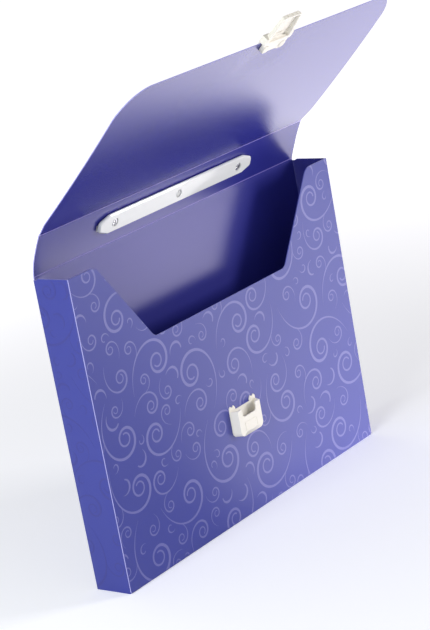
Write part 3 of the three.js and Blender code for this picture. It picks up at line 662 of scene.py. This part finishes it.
def buildLid():
    middle = stripLength / 2
    foldEdge = halfWidth - sheet["foldRadius"]
    columns = steps(-halfWidth, halfWidth, sheet["gridStep"])
    neck = halfWidth - lid["neck"]
    start = lid["rowStart"]
    lower = flatSheet(
        roundedOutline([(-foldEdge, -lid["seam"]), (foldEdge, -lid["seam"]), (foldEdge, -lid["creaseHalf"]),
                        (neck, 0), (halfWidth, lid["neckLength"], lid["neckLength"]), (halfWidth, middle),
                        (-halfWidth, middle), (-halfWidth, lid["neckLength"], lid["neckLength"]), (-neck, 0),
                        (-foldEdge, -lid["creaseHalf"])]),
        columns, creaseRows(0) + steps(start, middle, lid["rowStep"]))
    strip = sheetObject("strip_sheet", lower, lidPlace, -1, creaseShare)
    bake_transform(strip)
    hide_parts("top_strip")

    flared = halfWidth + lid["flare"]
    end = stripLength + lid["flapLength"]
    outline = roundedOutline([
        (-halfWidth, middle), (halfWidth, middle), (halfWidth, stripLength + lid["flareStart"]),
        (flared, stripLength + lid["flareLength"], lid["flareFillet"]),
        (flared, end, lid["corner"]), (-flared, end, lid["corner"]),
        (-flared, stripLength + lid["flareLength"], lid["flareFillet"]),
        (-halfWidth, stripLength + lid["flareStart"]),
    ], lid["cornerParts"])
    rows = creaseRows(stripLength) + steps(middle, stripLength - start, lid["rowStep"])
    rows += steps(stripLength + start, end, sheet["gridStep"] * lid["flapGrid"])
    upper = flatSheet(outline, columns, rows)
    flap = sheetObject("flap_sheet", upper, lidPlace, -1, creaseShare, "upperCrease")
    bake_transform(flap)
    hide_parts("flap_panel")


buildFront()
buildWalls()
buildLid()
print("folded sheet built")


# Scrollwork in low relief on the outer faces

scrollwork = {
    "rise": 0.05 * millimetre,
    "sink": 0.04 * millimetre,
    "offshootDrop": 0.02 * millimetre,  # an offshoot lies this much lower than the curl that it leaves
    "margin": 0.25 * millimetre,
    "overhang": 22 * millimetre,  # curls may start this far outside the sheet, and are cut off at its edge
    "turnStep": math.radians(13),  # a curl turns no more than this from one step to the next
    "stride": 2.4 * millimetre,
    "fullAt": 0.5,  # a curl reaches its full width at this share of its length
    "swellPower": 0.8,
    "thinFrom": 0.55,  # and thins again from here
    "thinBy": 0.5,
    "leastWidth": 0.12,  # in millimetres
    "cell": 5 * millimetre,
    "lean": 0.7,  # a branching curl starts upright to within this many radians
    "sizes": (0.86, 1.1),
    "offshootAt": 0.16,
    "offshootTurn": 0.15,
    "offshootClear": 3 * millimetre,
    "seed": 11,
    "seedSteps": {"left_side": 5, "right_side": 8, "back": 21, "strip": 34, "flap": 55},
}

# Length, width and the clear space round it are in millimetres, and tries are for each square decimetre.
curlKinds = {
    "sweep": {"length": 142, "turns": 1.95, "tighten": 2.5, "width": 2.5,
              "clear": 5.6, "tries": 90, "branch": True},
    "scroll": {"length": 88, "turns": 1.8, "tighten": 2.3, "width": 1.9,
               "clear": 4.8, "tries": 150, "branch": True},
    "tendril": {"length": 48, "turns": 1.55, "tighten": 2.0, "width": 1.35,
                "clear": 4.2, "tries": 110, "branch": False},
    "crescent": {"length": 23, "turns": 0.55, "tighten": 0.5, "width": 2.1,
                 "clear": 3.8, "tries": 110, "branch": False},
    "comma": {"length": 15, "turns": 0.75, "tighten": 1.2, "width": 1.2,
              "clear": 3.3, "tries": 70, "branch": False},
}


def curl(start, heading, kind, hand, share=1.0):
    length = kind["length"] * share * millimetre
    total = 2 * math.pi * kind["turns"] * hand
    tighten = kind["tighten"]
    points = []
    here = Vector(start)
    travelled = 0
    while travelled < length:
        part = travelled / length
        angle = heading + total * (math.exp(tighten * part) - 1) / (math.exp(tighten) - 1)
        bend = abs(total) * tighten * math.exp(tighten * part) / (math.exp(tighten) - 1) / length
        swell = min(1, (part / scrollwork["fullAt"]) ** scrollwork["swellPower"])
        swell = swell * (1 - scrollwork["thinBy"] * smooth(scrollwork["thinFrom"], 1, part))
        width = max(kind["width"] * math.sqrt(share) * swell, scrollwork["leastWidth"]) * millimetre
        points.append((here.copy(), angle, width))
        stride = min(scrollwork["stride"], scrollwork["turnStep"] / bend)
        ahead = angle + stride * bend * hand / 2
        here += Vector((math.cos(ahead), math.sin(ahead))) * stride
        travelled += stride
    return points


def layCurls(low, high, seed):
    chance = random.Random(seed)
    cell = scrollwork["cell"]
    taken = {}
    laid = []

    def nearest(point):
        column, row = int(point.x // cell), int(point.y // cell)
        cells = [(column + i, row + j) for i in (-1, 0, 1) for j in (-1, 0, 1)]
        return min(((point - other).length for near in cells for other in taken.get(near, [])), default=1)

    def keep(points, lower=0):
        for point, _, _ in points:
            taken.setdefault((int(point.x // cell), int(point.y // cell)), []).append(point)
        laid.append((points, lower))

    overhang = scrollwork["overhang"]
    area = (high[0] - low[0] + 2 * overhang) * (high[1] - low[1] + 2 * overhang) * 100
    for kind in curlKinds.values():
        clear = kind["clear"] * millimetre
        for _ in range(int(kind["tries"] * area)):
            start = Vector((chance.uniform(low[0] - overhang, high[0] + overhang),
                            chance.uniform(low[1] - overhang, high[1] + overhang)))
            upright = math.pi / 2 * chance.choice((-1, 1))
            upright += chance.uniform(-scrollwork["lean"], scrollwork["lean"])
            heading = upright if kind["branch"] else chance.uniform(0, 2 * math.pi)
            hand = chance.choice((-1, 1))
            share = chance.uniform(*scrollwork["sizes"])
            points = curl(start, heading, kind, hand, share)
            if min(nearest(point) for point, _, _ in points) < clear:
                continue
            offshoot = None
            if kind["branch"]:
                root, angle, _ = points[int(len(points) * scrollwork["offshootAt"])]
                angle += scrollwork["offshootTurn"] * hand
                offshoot = curl(root, angle, curlKinds["tendril"], -hand, share)
                if min(nearest(point) for point, _, _ in offshoot) < scrollwork["offshootClear"]:
                    offshoot = None
            keep(points)
            if offshoot:
                keep(offshoot, scrollwork["offshootDrop"])
    return laid


def ribbonMesh(laid):
    flat = bmesh.new()
    for points, lower in laid:
        rows = []
        for point, angle, width in points:
            aside = Vector((-math.sin(angle), math.cos(angle))) * (width / 2)
            rows.append([flat.verts.new((*(point + aside), -lower)),
                         flat.verts.new((*(point - aside), -lower))])
        for first, second in zip(rows, rows[1:]):
            flat.faces.new((first[0], first[1], second[1], second[0]))
    return flat


def clipped(flat, outline):
    part = flat.copy()
    for here, ahead in zip(outline, outline[1:] + outline[:1]):
        side = ahead - here
        if side.length < weldTolerance:
            continue
        outwards = (side.y, -side.x, 0)
        everything = part.verts[:] + part.edges[:] + part.faces[:]
        bmesh.ops.bisect_plane(part, geom=everything, plane_co=(here.x, here.y, 0), plane_no=outwards,
                               clear_outer=True, dist=clipTolerance)
    return part


def addScrolls(panel, body, finishName, regions, place, outward):
    name = panel + "_scrolls"
    seed = scrollwork["seed"] + scrollwork["seedSteps"].get(panel, 0)
    low = [min(point[axis] for region in regions for point in region) for axis in (0, 1)]
    high = [max(point[axis] for region in regions for point in region) for axis in (0, 1)]
    whole = ribbonMesh(layCurls(low, high, seed))
    solid = bmesh.new()
    for region in regions:
        part = clipped(whole, region)
        pairs = {}
        for vert in part.verts:
            point, normal = surfaceFrame(place, vert.co.x, vert.co.y)
            surface = point + normal * outward * sheet["thickness"] / 2
            rise = scrollwork["rise"] + vert.co.z
            pairs[vert] = (solid.verts.new(surface + normal * outward * rise),
                           solid.verts.new(surface - normal * outward * (scrollwork["sink"] - vert.co.z)))
        for face in part.faces:
            for side in (0, 1):
                loop = [pairs[vert][side] for vert in face.verts]
                if side == 1:
                    loop.reverse()
                solid.faces.new(loop)
        for edge in part.edges:
            if edge.is_boundary:
                loop = edge.link_loops[0]
                first, second = pairs[loop.vert], pairs[loop.link_loop_next.vert]
                solid.faces.new((second[0], first[0], first[1], second[1]))
        part.free()
    whole.free()
    if solid.calc_volume(signed=True) < 0:
        bmesh.ops.reverse_faces(solid, faces=solid.faces[:])
    mesh = bpy.data.meshes.new(name)
    solid.to_mesh(mesh)
    solid.free()
    mesh.materials.append(materials[finishName])
    scrolls = bpy.data.objects.new(name, mesh)
    bpy.context.scene.collection.objects.link(scrolls)
    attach(scrolls, body)


def box2d(left, low, right, high):
    return [Vector((left, low)), Vector((right, low)), Vector((right, high)), Vector((left, high))]


def buildScrolls():
    margin = scrollwork["margin"]
    edge = halfWidth - margin
    floorLine = sheet["foldRadius"]
    cutFloor = caseHeight - sheet["cutDepth"]
    lift = frontPath.marks[4] - floorLine
    ear = roundedOutline([
        (sheet["cutBottomHalf"] + margin, cutFloor),
        (edge, cutFloor),
        (edge, wallTop - margin),
        (sheet["cutTopHalf"] + margin, wallTop - margin, sheet["cutTopFillet"]),
    ])
    otherEar = [Vector((-point.x, point.y)) for point in reversed(ear)]
    front = [box2d(-edge, floorLine, edge, cutFloor), ear, otherEar]
    # the front's scrolls take the lighter copy, painted light
    addScrolls("front", "box", "scrollPaintedLight", front, lambda across, up: frontPlace(across, up + lift), 1)
    marks = wallPath.marks
    top = wallTop - sheet["reliefDepth"]
    # the side walls take the darker scroll copy, painted shade, and the back the lighter one, painted light
    walls = (("left_side", "scrollPaintedShade", 2, 3),
             ("right_side", "scrollPaintedShade", 6, 7),
             ("back", "scrollPaintedLight", 4, 5))
    for panel, finishName, first, last in walls:
        region = box2d(marks[first], floorLine, marks[last], top)
        addScrolls(panel, "box", finishName, [region], wallPlace, -1)
    crease = 2 * lid["creaseHalf"]
    stripRegion = box2d(-edge, crease, edge, stripLength - crease)
    addScrolls("strip", "strip", "scrollPaintedLight", [stripRegion], lidPlace, -1)
    flared = edge + lid["flare"]
    end = stripLength + lid["flapLength"] - margin
    flapRegion = roundedOutline([
        (-edge, stripLength + crease), (edge, stripLength + crease),
        (flared, stripLength + lid["flareLength"], lid["flareFillet"]), (flared, end, lid["corner"]),
        (-flared, end, lid["corner"]), (-flared, stripLength + lid["flareLength"], lid["flareFillet"]),
    ])
    addScrolls("flap", "flap", "scrollPaintedLight", [flapRegion], lidPlace, -1)


buildScrolls()
print("scrollwork laid")


# Moulded pieces and screws, shaded smooth over their rounded edges

# finish, slot and the body that it rides on
mouldings = {
    "latch_receiver": ("moulded", "moulded_ivory", "box"),
    "receiver_backing_plate": ("moulded", "moulded_ivory", "box"),
    "latch_clasp": ("moulded", "moulded_ivory", "flap"),
    "clasp_cover": ("moulded", "moulded_ivory", "flap"),
    "clasp_rivet_left": ("moulded", "moulded_ivory", "flap"),
    "clasp_rivet_right": ("moulded", "moulded_ivory", "flap"),
    "latch_button": ("moulded", "moulded_ivory", "button"),
    "handle_inner_plate": ("handlePlate", "moulded_ivory", "strip"),
    "handle_base": ("handlePlate", "moulded_ivory", "strip"),
    "handle_grip": ("handlePlate", "moulded_ivory", "grip"),
    "handle_screw_left": ("metal", "screw_metal", "strip"),
    "handle_screw_right": ("metal", "screw_metal", "strip"),
}
shading = {
    "sharpAngle": {"moulded": math.radians(22), "handlePlate": math.radians(38), "metal": math.radians(30)},
    "flatWithin": math.radians(1),
    "largeFaceWeight": 80,
}


def shadeMoulding(node, finishName, slotName, body):
    source = frame["nodes"][node]
    copied = bmesh.new()
    copied.from_mesh(source.data)
    copied.transform(source.matrix_world)
    bmesh.ops.remove_doubles(copied, verts=copied.verts[:], dist=weldTolerance)
    bmesh.ops.dissolve_limit(copied, angle_limit=shading["flatWithin"], verts=copied.verts[:],
                             edges=copied.edges[:])
    for face in copied.faces:
        face.smooth = True
    mesh = bpy.data.meshes.new("smooth_" + node)
    copied.to_mesh(mesh)
    copied.free()
    mesh.set_sharp_from_angle(angle=shading["sharpAngle"][finishName])
    mesh.materials.append(materials[finishName])
    made = bpy.data.objects.new("smooth_" + node, mesh)
    bpy.context.scene.collection.objects.link(made)
    if finishName == "handlePlate":  # its wide flat faces show streaks otherwise
        weighted = made.modifiers.new("weighted_normals", "WEIGHTED_NORMAL")
        weighted.keep_sharp = True
        weighted.weight = shading["largeFaceWeight"]
    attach(made, body)
    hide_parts(node)


for node, values in mouldings.items():
    shadeMoulding(node, *values)
print("moulded pieces shaded")
